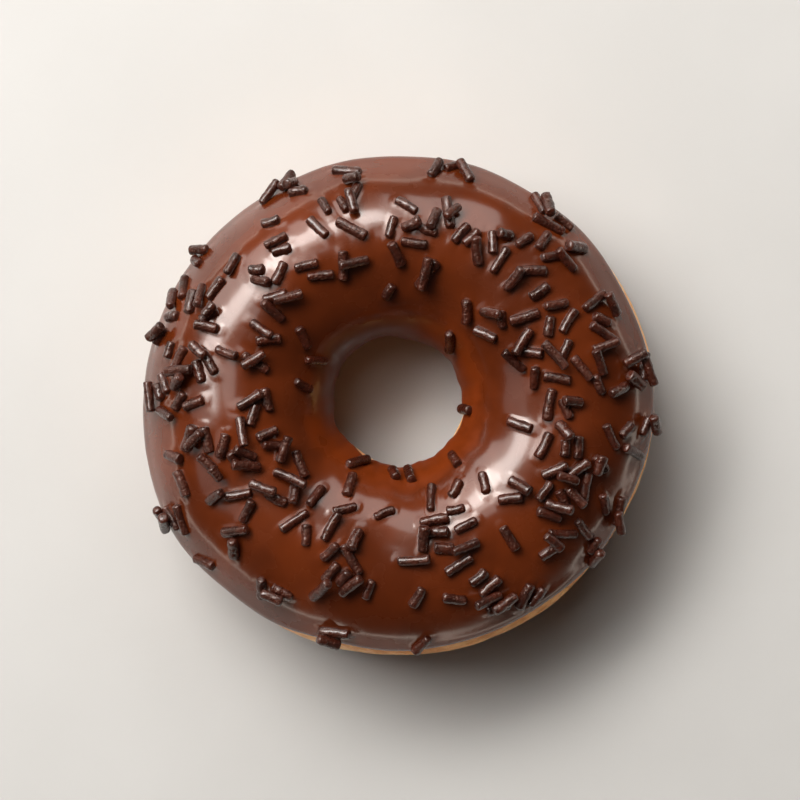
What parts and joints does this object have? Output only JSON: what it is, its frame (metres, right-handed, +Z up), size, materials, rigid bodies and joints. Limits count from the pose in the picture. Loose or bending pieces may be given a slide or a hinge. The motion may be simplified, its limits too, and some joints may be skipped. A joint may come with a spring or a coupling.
{
  "type": "chocolate sprinkle doughnut",
  "caption": "Ring doughnut of fried dough with a glossy chocolate icing over its upper half and small chocolate sprinkles set in the icing.",
  "frame": {"origin": "middle of the flat base that it rests on, below the middle of its whole box", "axes": "+Z up, out of the iced side; +X to the right and +Y to the top of the picture, as seen from above"},
  "size_m": [0.0939, 0.0908, 0.0359],
  "materials": {
    "dough": "fried golden brown crust with a paler band round its middle",
    "icing": "glossy milk chocolate with darker sprinkles"
  },
  "bodies": {
    "root": {"dough": "dough", "icing": "icing"}
  },
  "joints": []
}
